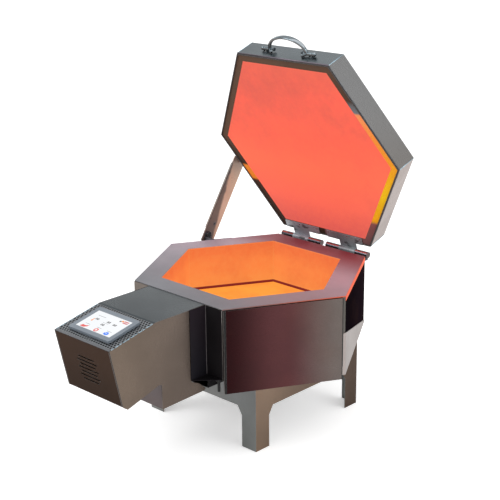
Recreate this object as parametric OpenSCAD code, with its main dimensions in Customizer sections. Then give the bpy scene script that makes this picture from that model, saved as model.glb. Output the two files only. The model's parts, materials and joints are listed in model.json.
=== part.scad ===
// Six-sided top-loading pottery kiln with a hinged lid, a touch-panel control
// box on its front face and a folded sheet-steel stand.
// Origin: centre of the space it takes up with the lid open, on the floor. +Z up,
// the lid hinge on the +Y side, the control box on the -Y side. The modules are
// drawn about the middle of the stand and moved along Y by depth_shift at the end.
// Lid parts are drawn closed and swung open by on_lid(). Offsets of a few tenths
// between neighbouring parts are clearances.

/* [Body] */
// Width of the body across its flats
across_flats = 680; // [670:5:690]
// Height of the rim plate's top face above the floor
rim_height = 490; // [480:5:500]
// Thickness of the insulating wall, jacket included
wall_thick = 76; // [74:1:78]
// Depth of the firing chamber
chamber_depth = 152; // [148:1:156]

/* [Lid] */
// Thickness of the lid
lid_thick = 78; // [76:1:80]
// How far the lid stands open from closed, in degrees
lid_open = 70.2; // [65:0.1:70.2]
// Width of the steel band around the lid's hot face
band_width = 24; // [22:1:26]

/* [Stand] */
// Width of the stand along X
stand_x = 488; // [480:2:494]
// Width of the stand along Y
stand_y = 494; // [486:2:494]
// Height of the arches under the stand's sides
arch_height = 137; // [130:1:142]

/* [Control box] */
// Half the width of the control box
box_half_width = 126; // [122:1:128]
// Width of the touch screen's bezel
bezel_width = 184; // [180:1:186]
// Height of the touch screen's bezel
bezel_height = 124; // [120:1:126]

/* [Hidden] */
$fn = 48;
tan30 = tan(30);

// body: apothems of the hexagon and heights above the floor
apothem = across_flats / 2;
corner_r = apothem / cos(30);
half_flat = apothem * tan30;            // half the width of one face
front_y = -apothem;                     // front face
rear_y = apothem;                       // rear face
jacket = 1.5;                           // jacket sheet
rim_thick = 2;
pan_thick = 1.5;
rim_z = rim_height;
floor_z = rim_z - chamber_depth;        // chamber floor
base_z = floor_z - 78;                  // underside, below the slab and pan
chamber_ap = apothem - wall_thick;
liner_ap = chamber_ap + 6;              // back of the liner plates

// heating elements and their tails through the front wall
element_z = [floor_z + 38, floor_z + 76, floor_z + 114];
element_ap = liner_ap + 7;
element_r = 4;
tail_x = 26;

// thermocouple
probe_x = 78;
probe_z = floor_z + 92;

// hinge axis and lid
hinge_y = rear_y + 31.3;
hinge_z = rim_z - 5.5;
rod_r = 8;
barrel_r = 10.5;
run_fit = 0.05;                         // running clearance
lid_z = rim_z + 4;                      // underside of the closed lid
lid_top = lid_z + lid_thick;
band_out = apothem - 5;                 // outer apothem of the band
band_in = band_out - band_width + 0.5;  // inner apothem of the band

// stay arm: pinned to the body, hooked under a stud on the lid; points are [y, z]
arm_x = -369;                           // middle plane of the arm
arm_thick = 4;
arm_back = arm_x - arm_thick / 2;       // face of the arm away from the body
strap = 4;                              // sheet of the stay and lid brackets
ear_x = arm_x + arm_thick / 2 + 1;      // outer face of the stay bracket's ear
stud = [107.3, rim_z + 44.3];           // stud, lid closed
stud_r = 5;
pivot = [151, rim_z + 5.5];             // pivot of the arm on the body
pivot_r = 6;
arm_offset = -11.6;                     // arm's centre line behind the pivot
function opened(p) = [
  hinge_y + (p[0] - hinge_y) * cos(lid_open) + (p[1] - hinge_z) * sin(lid_open),
  hinge_z - (p[0] - hinge_y) * sin(lid_open) + (p[1] - hinge_z) * cos(lid_open)];
pivot_to_stud = opened(stud) - pivot;
arm_length = sqrt(pivot_to_stud * pivot_to_stud - arm_offset * arm_offset);
arm_angle = atan2(pivot_to_stud[1], pivot_to_stud[0]) - atan2(arm_offset, arm_length);

// ---------- helpers ----------
module hexagon(ap) { circle(r = ap / cos(30), $fn = 6); }
module hex_plate(ap, z0, z1) { translate([0, 0, z0]) linear_extrude(z1 - z0) hexagon(ap); }
module hex_ring(outer, inner, z0, z1) {
  translate([0, 0, z0]) linear_extrude(z1 - z0) difference() {
    hexagon(outer);
    hexagon(inner);
  }
}
module block(x0, x1, y0, y1, z0, z1) {
  translate([x0, y0, z0]) cube([x1 - x0, y1 - y0, z1 - z0]);
}
// prism from x0 to x1 whose section is drawn in the Y-Z plane
module prism_x(x0, x1) {
  translate([x0, 0, 0]) rotate([90, 0, 90]) linear_extrude(x1 - x0) children();
}
// round bars along one axis; $fn = 6 makes a hexagon head or nut
module bar_x(x0, x1, y, z, r) {
  translate([x0, y, z]) rotate([0, 90, 0]) cylinder(h = x1 - x0, r = r);
}
module bar_y(y0, y1, x, z, r) {
  translate([x, y1, z]) rotate([90, 0, 0]) cylinder(h = y1 - y0, r = r);
}
module bar_z(z0, z1, x, y, r) { translate([x, y, z0]) cylinder(h = z1 - z0, r = r); }
// round bar between any two points
module bar_between(from, to, r) {
  d = to - from;
  length = norm(d);
  translate(from) rotate([0, acos(d[2] / length), atan2(d[1], d[0])])
    cylinder(h = length, r = r);
}
// children and their mirror image across the plane x = 0
module mirrored() {
  children();
  mirror([1, 0, 0]) children();
}
// carries something drawn on the closed lid to the open lid
module on_lid() {
  translate([0, hinge_y, hinge_z]) rotate([-lid_open, 0, 0])
    translate([0, -hinge_y, -hinge_z]) children();
}
// x of the left rear face at y, and a frame there with X out of the face
function left_x(y) = -(corner_r - y * tan30);
module on_left(y, z) { translate([left_x(y), y, z]) rotate([0, 0, 150]) children(); }

// section of a folded sheet: a line of points and its parallel at distance t
function normal(a, b) = let (d = (b - a) / norm(b - a)) [-d[1], d[0]];
function parallel(p, t) = [for (i = [0 : len(p) - 1])
   i == 0 ? p[0] + t * normal(p[0], p[1]) :
   i == len(p) - 1 ? p[i] + t * normal(p[i - 1], p[i]) :
   let (a = normal(p[i - 1], p[i]), b = normal(p[i], p[i + 1]))
   p[i] + t * (a + b) / (1 + a * b)];
function reversed(p) = [for (i = [len(p) - 1 : -1 : 0]) p[i]];
module fold(p, t) { polygon(concat(p, reversed(parallel(p, t)))); }

// ---------- stand ----------
stand_hx = stand_x / 2;
stand_hy = stand_y / 2;
stand_sheet = 2.5;
leg_x = 61;                     // leg width on the front and rear
leg_y = 60;                     // leg width on the sides
flange = 26;                    // width of the frame's top flange

// opening between two legs, with sloping upper corners
module arch(half_side, leg) {
  h = half_side - leg;
  shoulder = arch_height - 29;
  polygon([[-h, -1], [-h, shoulder], [-h + 18, arch_height],
           [h - 18, arch_height], [h, shoulder], [h, -1]]);
}
module stand_frame() {
  top = base_z - stand_sheet;
  inner_x = stand_hx - stand_sheet;
  inner_y = stand_hy - stand_sheet;
  lip_x = stand_hx - flange;
  lip_y = stand_hy - flange;
  color([0.50, 0.47, 0.43])
  difference() {
    union() {
      difference() {
        block(-stand_hx, stand_hx, -stand_hy, stand_hy, 0, top);
        block(-inner_x, inner_x, -inner_y, inner_y, -1, base_z);
      }
      difference() {
        block(-stand_hx, stand_hx, -stand_hy, stand_hy, top, base_z);
        block(-lip_x, lip_x, -lip_y, lip_y, top - 1, base_z + 1);
      }
    }
    rotate([90, 0, 0]) translate([0, 0, -stand_hy - 5])
      linear_extrude(2 * stand_hy + 10) arch(stand_hx, leg_x);
    prism_x(-stand_hx - 5, stand_hx + 5) arch(stand_hy, leg_y);
  }
}
// three-cornered plates inside the feet
module foot_plates() {
  inset = stand_sheet + 0.1;
  color([0.42, 0.42, 0.42])
  for (i = [-1, 1], j = [-1, 1])
    translate([i * (stand_hx - inset), j * (stand_hy - inset), 0])
      mirror([i > 0 ? 1 : 0, 0, 0]) mirror([0, j > 0 ? 1 : 0, 0])
        linear_extrude(3) polygon([[0, 0], [36, 0], [0, 42]]);
}

// ---------- body ----------
module base_pan() {
  color([0.45, 0.45, 0.46]) hex_plate(apothem - jacket - 0.1, base_z, base_z + pan_thick);
}
// children at every element tail: x and z of the tail, y unchanged
module at_tails() {
  mirrored() for (z = element_z) translate([tail_x, 0, z]) children();
}
module tail_holes(r) { at_tails() bar_y(front_y - 20, -liner_ap + 1, 0, 0, r); }
stay_screw = [[180, rim_z - 7.5], [152, rim_z - 36]];     // [y, z] on the left rear face
module stay_screw_holes() {
  for (q = stay_screw) on_left(q[0], q[1]) bar_x(-10, 10, 0, 0, 3.1);
}
module outer_jacket() {
  color([0.30, 0.24, 0.26])
  difference() {
    hex_ring(apothem, apothem - jacket, base_z, rim_z - rim_thick);
    tail_holes(8.3);
    bar_y(front_y - 20, front_y + 10, probe_x, probe_z, 5);
    stay_screw_holes();
  }
}
module rim_plate() {
  color([0.52, 0.50, 0.53]) hex_ring(apothem, chamber_ap + 0.2, rim_z - rim_thick, rim_z);
}
module floor_slab() {
  color([0.95, 0.60, 0.30]) hex_plate(apothem - jacket - 0.2, base_z + pan_thick, floor_z);
}
// one sixth of a hexagonal ring, seen from above, each end drawn in by the gap
module wall_section(inner, outer, gap) {
  polygon([[inner, -inner * tan30 + gap], [outer, -outer * tan30 + gap],
           [outer, outer * tan30 - gap], [inner, inner * tan30 - gap]]);
}
// wall brick whose face looks along the angle, grooved for the elements
module wall_brick(angle) {
  color([0.96, 0.66, 0.40])
  difference() {
    rotate([0, 0, angle]) translate([0, 0, floor_z + 0.1])
      linear_extrude(chamber_depth - 2.2)
        wall_section(liner_ap + 0.1, apothem - jacket - 0.2, 0.15);
    for (z = element_z) hex_ring(liner_ap + 14, liner_ap - 1, z - 6, z + 6);
    if (angle == 150) stay_screw_holes();
    if (angle == 270) {
      tail_holes(8.15);
      bar_y(front_y, -liner_ap + 5, probe_x, probe_z, 4.3);
    }
  }
}
// liner plates around the chamber, rebated under the rim plate
module muffle_plates() {
  color([1.0, 0.58, 0.25])
  for (angle = [30 : 60 : 330])
    difference() {
      rotate([0, 0, angle]) translate([0, 0, floor_z + 0.1])
        linear_extrude(chamber_depth - 0.5) wall_section(chamber_ap, liner_ap, 0.1);
      bar_y(-liner_ap - 1, -chamber_ap + 1, probe_x, probe_z, 4.3);
      hex_ring(apothem, chamber_ap + 0.1, rim_z - 2.1, rim_z + 1);
    }
}
// each element runs in one tail, round the six corners and out of the other tail
module heating_elements() {
  turn_r = element_ap / cos(30);
  end_y = front_y - 20;
  color([0.85, 0.35, 0.15])
  for (z = element_z) {
    path = concat(
      [[-tail_x, end_y, z], [-tail_x, -element_ap, z]],
      [for (k = [4 : -1 : -1]) [turn_r * cos(60 * k), turn_r * sin(60 * k), z]],
      [[tail_x, -element_ap, z], [tail_x, end_y, z]]);
    for (i = [0 : len(path) - 2]) bar_between(path[i], path[i + 1], element_r);
    for (i = [1 : len(path) - 2]) translate(path[i]) sphere(r = element_r + 0.6);
  }
}
module terminal_bushings() {
  color([0.93, 0.91, 0.86])
  at_tails() difference() {
    union() {
      bar_y(front_y - 0.2, front_y + 42, 0, 0, 8);
      bar_y(front_y - 5, front_y - 0.2, 0, 0, 12);
    }
    bar_y(front_y - 6, front_y + 43, 0, 0, element_r + 0.15);
  }
}
module terminal_nuts() {
  color([0.80, 0.66, 0.34])
  at_tails() difference() {
    bar_y(front_y - 11.2, front_y - 5.2, 0, 0, 8, $fn = 6);
    bar_y(front_y - 12, front_y - 4, 0, 0, element_r + 0.05);
  }
}
module thermocouple() {
  tip_y = -chamber_ap + 29;
  color([0.92, 0.90, 0.85])
  union() {
    bar_y(front_y - 2, tip_y, probe_x, probe_z, 4);
    translate([probe_x, tip_y, probe_z]) sphere(r = 4);
  }
}
module thermocouple_head() {
  color([0.86, 0.84, 0.78])
  translate([probe_x, front_y, probe_z]) difference() {
    union() {
      block(-13, 13, -24, -2.1, -11, 11);
      block(-8, 8, -2.1, -0.1, -8, 8);
    }
    bar_y(-2.05, 0, 0, 0, 4.1);
    for (i = [-1, 1]) bar_y(-25, -16, i * 6, 0, 2);
  }
}
// panel standing off the right-hand front face, with a return fold at each edge
module side_heat_shield() {
  inner = apothem + 0.3;
  outer = apothem + 8;
  y0 = -193;
  y1 = 186;
  bottom = base_z - 43;
  color([0.35, 0.20, 0.20])
  rotate([0, 0, -30])
    translate([0, 0, bottom]) linear_extrude(rim_z - 4 - bottom)
      difference() {
        translate([inner, y0]) square([outer - inner, y1 - y0]);
        translate([inner - 1, y0 + 2]) square([outer - inner - 1, y1 - y0 - 4]);
      }
}
// tapered ear on the face whose outward direction is X, from the corner at -Y to y_end
shoe_ap = apothem + 2.7;        // outer apothem of the shoes
module ear(y_end) {
  inner = apothem + 0.2;
  intersection() {
    prism_x(inner, shoe_ap)
      polygon([[-half_flat - 4, base_z - 32], [-half_flat - 4, base_z + 110],
               [half_flat, base_z + 3], [half_flat, base_z - 2.6]]);
    translate([0, 0, base_z - 60]) linear_extrude(220)
      polygon([[inner, -inner * tan30], [shoe_ap, -shoe_ap * tan30],
               [shoe_ap, y_end], [inner, y_end]]);
  }
}
// shoe for the +X corner; the right one is cut back for the heat shield
module shoe(right) {
  difference() {
    union() {
      rotate([0, 0, 30]) ear(half_flat);
      rotate([0, 0, -30]) mirror([0, 1, 0]) ear(right ? -187.5 : half_flat);
      intersection() {
        hex_plate(shoe_ap, base_z - 2.6, base_z - 0.1);
        block(stand_hx + 0.5, corner_r + 9, -apothem, apothem, base_z - 5, base_z + 5);
      }
    }
    if (right) rotate([0, 0, -30])
      block(apothem - 0.2, apothem + 10, -190, 186.6, base_z - 60, base_z + 60);
  }
}
// shoes that wrap the two corners of the body that overhang the stand
module corner_shoes() {
  color([0.74, 0.70, 0.68]) {
    shoe(true);
    mirror([1, 0, 0]) shoe(false);
  }
}

// ---------- control box ----------
box_sheet = 2;
box_top = rim_z - 2;
slope_y = -541;                 // where the top cover meets the sloping panel
nose_y = -716;                  // front edge of the box
nose_z = box_top - 37;
heel_y = -675;                  // foot of the front panel
heel_z = box_top - 225;
// outline of the box sides, [y, z]
side_profile = [
  [-404, box_top], [slope_y, box_top], [nose_y, nose_z], [heel_y, heel_z],
  [-659, box_top - 236], [-607, box_top - 221], [-536, box_top - 200],
  [-524, box_top - 203], [-524, box_top - 282], [-352, box_top - 278],
  [-345, box_top - 272], [-374, box_top - 246.5], [-404, box_top - 233]];
inner_half = box_half_width - box_sheet - 0.1;  // half width between the sides

slope_angle = atan2(box_top - nose_z, slope_y - nose_y);
slope_length = norm([slope_y - nose_y, box_top - nose_z]);
// frame on the sloping panel: X across, Y up the slope, Z out of it
module on_slope() { translate([0, nose_y, nose_z]) rotate([slope_angle, 0, 0]) children(); }
// frame at the middle of the bezel's lower edge, axes as on the slope
bezel_y = slope_length - 151;
module on_bezel() { on_slope() translate([0, bezel_y, 0]) children(); }

lean_angle = atan2(heel_y - nose_y, nose_z - heel_z);
front_length = norm([heel_y - nose_y, nose_z - heel_z]);
// frame on the front panel: X across, Y away from the nose, Z normal to the panel
module on_front() {
  translate([0, nose_y, nose_z]) rotate([lean_angle - 90, 0, 0]) children();
}

module box_side_right() {
  color([0.47, 0.41, 0.36])
  prism_x(box_half_width - box_sheet, box_half_width) polygon(side_profile);
}
module box_side_left() {
  color([0.47, 0.41, 0.36])
  prism_x(-box_half_width, -box_half_width + box_sheet) polygon(side_profile);
}
module box_top_cover() {
  lip = 8;
  color([0.38, 0.42, 0.43])
  prism_x(-inner_half, inner_half)
    fold([[front_y - 0.4, box_top], [slope_y, box_top],
          [slope_y - lip * cos(slope_angle), box_top - lip * sin(slope_angle)]], box_sheet);
}
module box_grille_panel() {
  margin = 8;                   // opening inside the bezel's edge
  half = bezel_width / 2 - margin;
  color([0.70, 0.72, 0.74])
  difference() {
    on_slope() block(-inner_half, inner_half, 1.5, slope_length - 8.5, -box_sheet, 0);
    on_bezel() block(-half, half, margin, bezel_height - margin, -10, 10);
  }
}
// slot with round ends, centred on X at y
module slot(half_length, y, r) {
  for (i = [-1, 1]) translate([i * half_length, y]) circle(r = r);
  translate([-half_length, y - r]) square([2 * half_length, 2 * r]);
}
module box_front_panel() {
  half = box_half_width - box_sheet - 2.4;
  slots = 7;                    // alternately short and long
  color([0.36, 0.28, 0.22])
  difference() {
    union() {
      on_front() block(-half, half, 3, front_length - 1, 0, box_sheet);
      // return folds at the two sides
      mirrored() on_front() block(half - 2, half, 3, front_length - 21, 0.5, 14.5);
    }
    for (i = [0 : slots - 1])
      on_front() translate([0, 0, -20]) linear_extrude(40)
        slot(34 + 9 * (i % 2), 62 + i * 13, 2.6, $fn = 24);
  }
}
module box_bottom_panel() {
  color([0.45, 0.43, 0.46])
  prism_x(-inner_half, inner_half)
    fold([[heel_y + 3.2, heel_z + 2], [-659, box_top - 235.5], [-607, box_top - 220.6],
          [-526, box_top - 197], [-524, box_top - 282], [-352, box_top - 278]], box_sheet);
}

// ---------- touch screen ----------
rebate_half = 76;               // half width of the rebate that holds the glass
rebate_y = [16, 108];           // its lower and upper edges above the bezel's
// rectangle with rounded corners
module bezel_outline() {
  half = bezel_width / 2;
  r = 6;
  difference() {
    translate([-half, 0]) square([2 * half, bezel_height]);
    for (i = [-1, 1], edge = [[0, 1], [bezel_height, -1]])
      translate([i * half, edge[0]]) difference() {
        translate([i > 0 ? -r : -1, edge[1] > 0 ? -1 : -r]) square([r + 1, r + 1]);
        translate([-i * r, edge[1] * r]) circle(r = r);
      }
  }
}
module screen_bezel() {
  color([0.55, 0.60, 0.65])
  on_bezel() difference() {
    translate([0, 0, 0.1]) linear_extrude(7.9) bezel_outline();
    block(-rebate_half, rebate_half, rebate_y[0], rebate_y[1], 5.9, 8.9);
    block(-70, 70, 20, 104, -1, 11);
  }
}
module screen_glass() {
  half = rebate_half - 0.2;
  color([0.95, 0.96, 0.97])
  on_bezel() block(-half, half, rebate_y[0] + 0.2, rebate_y[1] - 0.2, 6, 7.8);
}
// housing behind the panel, with a raised part in the bezel's opening
module screen_module() {
  color([0.16, 0.17, 0.18])
  on_bezel() difference() {
    union() {
      block(-82, 82, 10, 114, -34, -2.3);
      block(-69, 69, 21, 103, -3, 5.5);
    }
    block(-60, 60, 25, 35, -36, -28);
  }
}

// ---------- neck and wiring ----------
// cheek between the box and the body's front face: an upright that carries the
// box side on, a strip along the face and a three-cornered plate at the foot
module neck_side() {
  x0 = box_half_width + 0.2;
  face_x = corner_r / 2;        // corner of the front face
  translate([0, 0, base_z + 0.5]) {
    linear_extrude(box_top - base_z - 1)
      polygon([[x0, -407], [x0 + 1.6, -407], [x0 + 1.6, front_y - 2],
               [face_x - 1.6, front_y - 2], [face_x - 0.8, front_y - 0.4],
               [x0, front_y - 0.4]]);
    linear_extrude(1.6)
      polygon([[x0 + 0.8, -405.5], [face_x - 2.4, front_y - 1.4], [x0 + 0.8, front_y - 1.4]]);
  }
}
module neck_panels() { color([0.10, 0.09, 0.11]) mirrored() neck_side(); }
module wiring_trough() {
  color([0.05, 0.05, 0.05])
  difference() {
    block(-131, 131, front_y - 0.5, -stand_hy - 0.6, base_z - 44, base_z - 0.4);
    block(-129, 129, front_y - 1, -stand_hy - 2.6, base_z - 42, base_z);
  }
}
// frame with Z from the underside of the DIN rail; devices stand at device_z
module on_rail() { translate([0, 0, box_top - 278.4]) children(); }
device_z = 7.6;
module din_rail() {
  color([0.75, 0.76, 0.78])
  on_rail() difference() {
    block(-108, 108, -520, -485, 0, 7.5);
    block(-109, 109, -515, -490, 1, 9);
  }
}
module contactors() {
  color([0.20, 0.22, 0.24])
  on_rail() for (x = [-96, -40]) difference() {
    union() {
      block(x, x + 45, -519.5, -486, device_z, 76);
      block(x + 4, x + 41, -515, -478, 19, 65);
    }
    for (i = [0 : 2]) bar_z(66, 81, x + 10 + 12.5 * i, -503, 2.6);
  }
}
module power_supply() {
  color([0.70, 0.72, 0.70])
  on_rail() difference() {
    block(20, 66, -519.5, -482, device_z, 85);
    for (i = [0 : 5]) block(26, 60, -483, -480, 19 + i * 9, 22 + i * 9);
  }
}
module terminal_block() {
  color([0.78, 0.78, 0.74])
  on_rail() difference() {
    block(70, 106, -515, -489, device_z, 45);
    for (i = [0 : 3]) bar_z(35, 46, 75.5 + 8.4 * i, -502, 2.8);
  }
}
// a lug on each terminal, then a lead down the neck and into the deep part of the box
module power_leads() {
  lug_y = front_y - 17;
  drop_y = lug_y - 14;
  lead_r = 2.2;
  color([0.65, 0.12, 0.10])
  mirrored() for (k = [0 : 2]) {
    x = 34 + 7 * k;
    z = element_z[k];
    bend = [x, drop_y, z];
    low_bend = [x, drop_y, box_top - 262 + 3 * k];
    difference() {
      block(tail_x, x, lug_y - 1, lug_y + 1, z - 2.5, z + 2.5);
      bar_y(lug_y - 3, lug_y + 3, tail_x, z, element_r + 0.1);
    }
    bar_between([x, lug_y, z], bend, lead_r);
    translate(bend) sphere(r = lead_r);
    bar_between(bend, low_bend, lead_r);
    translate(low_bend) sphere(r = lead_r);
    bar_between(low_bend, [x, -470, low_bend[2]], lead_r);
  }
}
gland_x = 163;
gland_y = front_y + 15;
cable_r = 4.5;
module cable_gland() {
  color([0.06, 0.06, 0.06])
  difference() {
    union() {
      bar_z(base_z - 16, base_z - 0.3, gland_x, gland_y, 9);
      bar_z(base_z - 9, base_z - 3, gland_x, gland_y, 12, $fn = 6);
    }
    bar_z(base_z - 17, base_z + 1, gland_x, gland_y, cable_r + 0.1);
  }
}
module mains_cable() {
  color([0.04, 0.04, 0.04]) bar_z(base_z - 51, base_z - 0.4, gland_x, gland_y, cable_r);
}

// ---------- hinge ----------
// x of the inner and outer ends on the right hinge, before hinge_shift
barrel_x = [16, 190];
knuckle_x = [70, 141];
hinge_shift = -8;               // the pair sits a little to the left of the middle
bolt_x = [barrel_x[0] + 22, (barrel_x[0] + barrel_x[1]) / 2, barrel_x[1] - 16];
bolt_z = rim_z - 58;
module both_hinges() { translate([hinge_shift, 0, 0]) mirrored() children(); }
module hinge_rods() {
  inner = barrel_x[0] - 1;
  outer = barrel_x[1] + 1;
  color([0.62, 0.62, 0.64])
  both_hinges() {
    bar_x(inner, outer, hinge_y, hinge_z, rod_r);
    bar_x(outer, outer + 3, hinge_y, hinge_z, barrel_r);
    bar_x(inner - 3, inner, hinge_y, hinge_z, barrel_r);
  }
}
module hinge_barrels() {
  color([0.55, 0.55, 0.57])
  both_hinges()
    for (q = [[barrel_x[0], knuckle_x[0] - 0.4], [knuckle_x[1] + 0.4, barrel_x[1]]])
      difference() {
        bar_x(q[0], q[1], hinge_y, hinge_z, barrel_r);
        bar_x(q[0] - 1, q[1] + 1, hinge_y, hinge_z, rod_r + 0.02);
      }
}
// back plate with a shelf and a gusset under each barrel
module hinge_brackets() {
  inner = barrel_x[0] + 4;
  outer = barrel_x[1] - 4;
  plate_y = rear_y + 4;
  color([0.40, 0.40, 0.42])
  both_hinges() difference() {
    union() {
      block(inner, outer, rear_y + 0.1, plate_y + 0.1, rim_z - 72, rim_z - 8);
      for (q = [[inner, knuckle_x[0] - 4], [knuckle_x[1] + 4, outer]]) {
        block(q[0], q[1], plate_y, hinge_y + 8, rim_z - 26, rim_z - 9);
        prism_x(q[0] + 4, q[0] + 8)
          polygon([[plate_y, rim_z - 66], [plate_y, rim_z - 24], [hinge_y + 4, rim_z - 24]]);
      }
    }
    bar_x(barrel_x[0], barrel_x[1], hinge_y, hinge_z, barrel_r + 0.04);
    for (x = bolt_x) bar_y(rear_y - 1, rear_y + 6, x, bolt_z, 4.1);
  }
}
module bracket_bolts() {
  color([0.72, 0.72, 0.74])
  both_hinges() for (x = bolt_x) {
    bar_y(rear_y + 0.1, rear_y + 4.2, x, bolt_z, 4);
    bar_y(rear_y + 4.2, rear_y + 9.2, x, bolt_z, 7, $fn = 6);
  }
}

// ---------- stay bracket on the left rear face ----------
module stay_bracket() {
  color([0.42, 0.40, 0.40])
  difference() {
    union() {
      translate([0, 0, rim_z - 50]) linear_extrude(50)
        fold([[left_x(190) - 0.4, 190], [left_x(136) - 0.4, 136],
              [ear_x, 136], [ear_x, 166]], -strap);
      // tongue of the ear around the pivot
      block(ear_x, ear_x + strap, pivot[0] - 12, pivot[0] + 12, rim_z - 8, pivot[1]);
      bar_x(ear_x, ear_x + strap, pivot[0], pivot[1], 12.05);
    }
    bar_x(ear_x - 1, ear_x + 6, pivot[0], pivot[1], pivot_r + 0.02);
    stay_screw_holes();
  }
}
module stay_pivot_pin() {
  nut_x = ear_x + strap + 0.1;
  color([0.80, 0.80, 0.82])
  union() {
    bar_x(arm_back - 1, nut_x, pivot[0], pivot[1], pivot_r);
    bar_x(arm_back - 5, arm_back - 0.3, pivot[0], pivot[1], pivot_r + 4);
    bar_x(nut_x, nut_x + 6, pivot[0], pivot[1], pivot_r + 5, $fn = 6);
  }
}
module stay_screws() {
  color([0.75, 0.75, 0.77])
  for (q = stay_screw) on_left(q[0], q[1]) {
    bar_x(-6, 4.6, 0, 0, 3);
    bar_x(4.5, 7.1, 0, 0, 5.5);
  }
}

// ---------- lid ----------
handle_z = rim_z + 42;
lug_x = 97;
leaf_x = [18, 172];             // ends of the right hinge leaf, before hinge_shift
leaf_screw_x = [28, 107, 162];
leaf_screw_y = band_in + 9;
// children at the two screws of the lid bracket
module at_lid_bracket_screws() { for (y = [132, 146]) on_left(y, stud[1]) children(); }
module leaf_screw_holes() {
  both_hinges() for (x = leaf_screw_x) bar_z(lid_z - 4, lid_z + 14, x, leaf_screw_y, 3.05);
}
module lid_shell() {
  color([0.52, 0.52, 0.53])
  on_lid() difference() {
    hex_plate(apothem, lid_z, lid_top);
    hex_plate(apothem - jacket, lid_z - 1, lid_top - jacket);
    mirrored() bar_y(front_y - 3, front_y + 6, lug_x, handle_z, 3.1);
    at_lid_bracket_screws() bar_x(-20, 20, 0, 0, 2.6);
  }
}
// channel-shaped band around the hot face
module lid_frame() {
  color([0.35, 0.27, 0.21])
  on_lid() difference() {
    union() {
      hex_ring(band_out, band_in + 0.3, lid_z, lid_z + 2);
      hex_ring(band_out, band_out - 2, lid_z, lid_z + 6);
      hex_ring(band_in + 2.3, band_in + 0.3, lid_z, lid_z + 6);
    }
    leaf_screw_holes();
  }
}
module lid_slab() {
  color([0.94, 0.72, 0.52])
  on_lid() difference() {
    hex_plate(apothem - jacket - 0.2, lid_z + 6.1, lid_top - jacket - 0.2);
    leaf_screw_holes();
    mirrored() bar_y(front_y - 3, front_y + 14, lug_x, handle_z, 7.4);
    at_lid_bracket_screws() bar_x(-20, 20, 0, 0, 2.6);
  }
}
module lid_hot_face() {
  color([1.0, 0.40, 0.30]) on_lid() hex_plate(band_in, lid_z, lid_z + 6);
}
// strip around the band, cut away where the hinge leaves pass under it
module lid_gasket() {
  color([0.10, 0.08, 0.07])
  on_lid() difference() {
    hex_ring(apothem - jacket - 0.1, band_out + 0.1, lid_z - 3.4, lid_z + 6);
    both_hinges()
      block(leaf_x[0] - 1, leaf_x[1] + 1, band_in - 8, rear_y + 1, lid_z - 5, lid_z + 0.2);
  }
}
module hinge_leaves() {
  top = lid_z - 0.05;
  color([0.28, 0.28, 0.30])
  on_lid() both_hinges() difference() {
    union() {
      block(leaf_x[0], leaf_x[1], band_in + 2, rear_y + 1, lid_z - 3, top);
      block(knuckle_x[0], knuckle_x[1], rear_y, hinge_y, lid_z - 3, top);
      prism_x(knuckle_x[0], knuckle_x[1])
        polygon([[hinge_y - 9, lid_z - 3.1], [hinge_y - 9, top], [hinge_y, top],
                 [hinge_y + 5.6, hinge_z + 8.8], [hinge_y, hinge_z + 3],
                 [hinge_y - 7, hinge_z + 3]]);
      bar_x(knuckle_x[0], knuckle_x[1], hinge_y, hinge_z, barrel_r);
    }
    bar_x(knuckle_x[0] - 1, knuckle_x[1] + 1, hinge_y, hinge_z, rod_r + run_fit);
    for (x = leaf_screw_x) bar_z(lid_z - 4, lid_z + 1, x, leaf_screw_y, 3.05);
  }
}
module leaf_screws() {
  color([0.70, 0.70, 0.72])
  on_lid() both_hinges()
    for (x = leaf_screw_x) bar_z(lid_z - 2.9, lid_z + 13, x, leaf_screw_y, 3);
}

// ---------- handle on the lid's front face ----------
bow_half = 82;
cross_y = front_y - 9;          // axis of the cross bolts
// half height of the bow along its width, [x, half height]
bow_heights = [
  [-bow_half - 1, 6], [-60, 7], [-38, 9], [-14, 10.4],
  [14, 10.4], [38, 9], [60, 7], [bow_half + 1, 6]];
module handle_bow() {
  color([0.80, 0.81, 0.83])
  on_lid() translate([0, front_y - 2, handle_z]) difference() {
    intersection() {
      // crowned bow seen from above: the space between two arcs
      translate([0, 0, -13]) linear_extrude(26) difference() {
        intersection() {
          translate([0, 30]) circle(r = 88, $fn = 180);
          translate([-bow_half, -70]) square([2 * bow_half, 70]);
        }
        intersection() {
          translate([0, 24]) circle(r = 76, $fn = 180);
          translate([-bow_half + 6, -70]) square([2 * bow_half - 12, 71]);
        }
      }
      // crown wide in the middle, limbs narrower
      translate([0, 1, 0]) rotate([90, 0, 0]) linear_extrude(80)
        polygon(concat(bow_heights, [for (p = reversed(bow_heights)) [p[0], -p[1]]]));
    }
    mirrored() bar_x(bow_half - 25, bow_half + 25, -7, 0, 3.6);
  }
}
module handle_lugs() {
  color([0.72, 0.73, 0.75])
  on_lid() mirrored() difference() {
    union() {
      bar_y(cross_y, front_y - 0.1, lug_x, handle_z, 5.5);
      bar_y(front_y - 2.1, front_y - 0.1, lug_x, handle_z, 10);
      bar_x(bow_half + 1, lug_x + 8.5, cross_y, handle_z, 6.2);
    }
    bar_x(lug_x - 20, lug_x + 20, cross_y, handle_z, 3.55);
    bar_y(front_y - 5.2, front_y + 1, lug_x, handle_z, 3.1);
  }
}
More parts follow.
